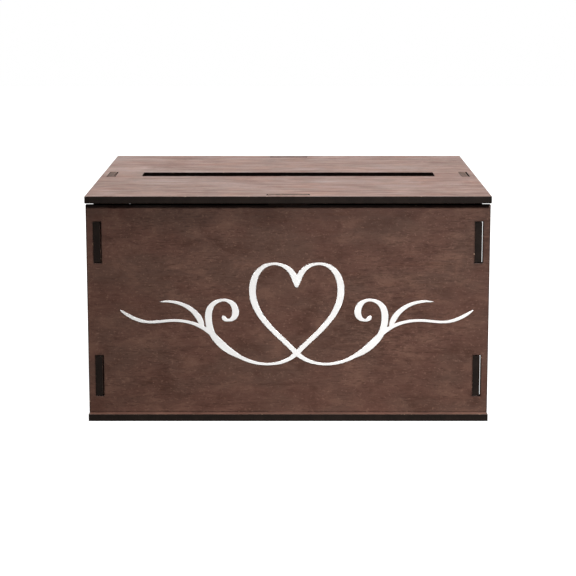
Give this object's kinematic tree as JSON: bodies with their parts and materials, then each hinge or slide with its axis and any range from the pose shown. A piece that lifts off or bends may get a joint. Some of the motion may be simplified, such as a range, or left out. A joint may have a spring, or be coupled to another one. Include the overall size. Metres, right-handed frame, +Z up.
{
  "type": "wedding card box",
  "caption": "Stained wooden card box of slot-together boards, with a lift-off top that has an envelope slot and white scrollwork on the front.",
  "frame": {"origin": "middle of the footprint, on the surface the box stands on", "axes": "+Z up, the decorated front faces -Y, +X to the right seen from the front"},
  "size_m": [0.282, 0.252, 0.1601],
  "materials": {
    "stained_ply": "satin walnut stain",
    "white_decal": "matte"
  },
  "bodies": {
    "box": {"bottom_board": "stained_ply", "front_panel": "stained_ply", "back_panel": "stained_ply", "left_side_panel": "stained_ply", "right_side_panel": "stained_ply", "front_flourish": "white_decal"},
    "lid": {"lid_board": "stained_ply"}
  },
  "joints": [
    {"name": "lid_lift", "type": "slide", "parent": "box", "child": "lid", "axis": [0, 0, 1], "range_m": [0, 0.15]}
  ]
}
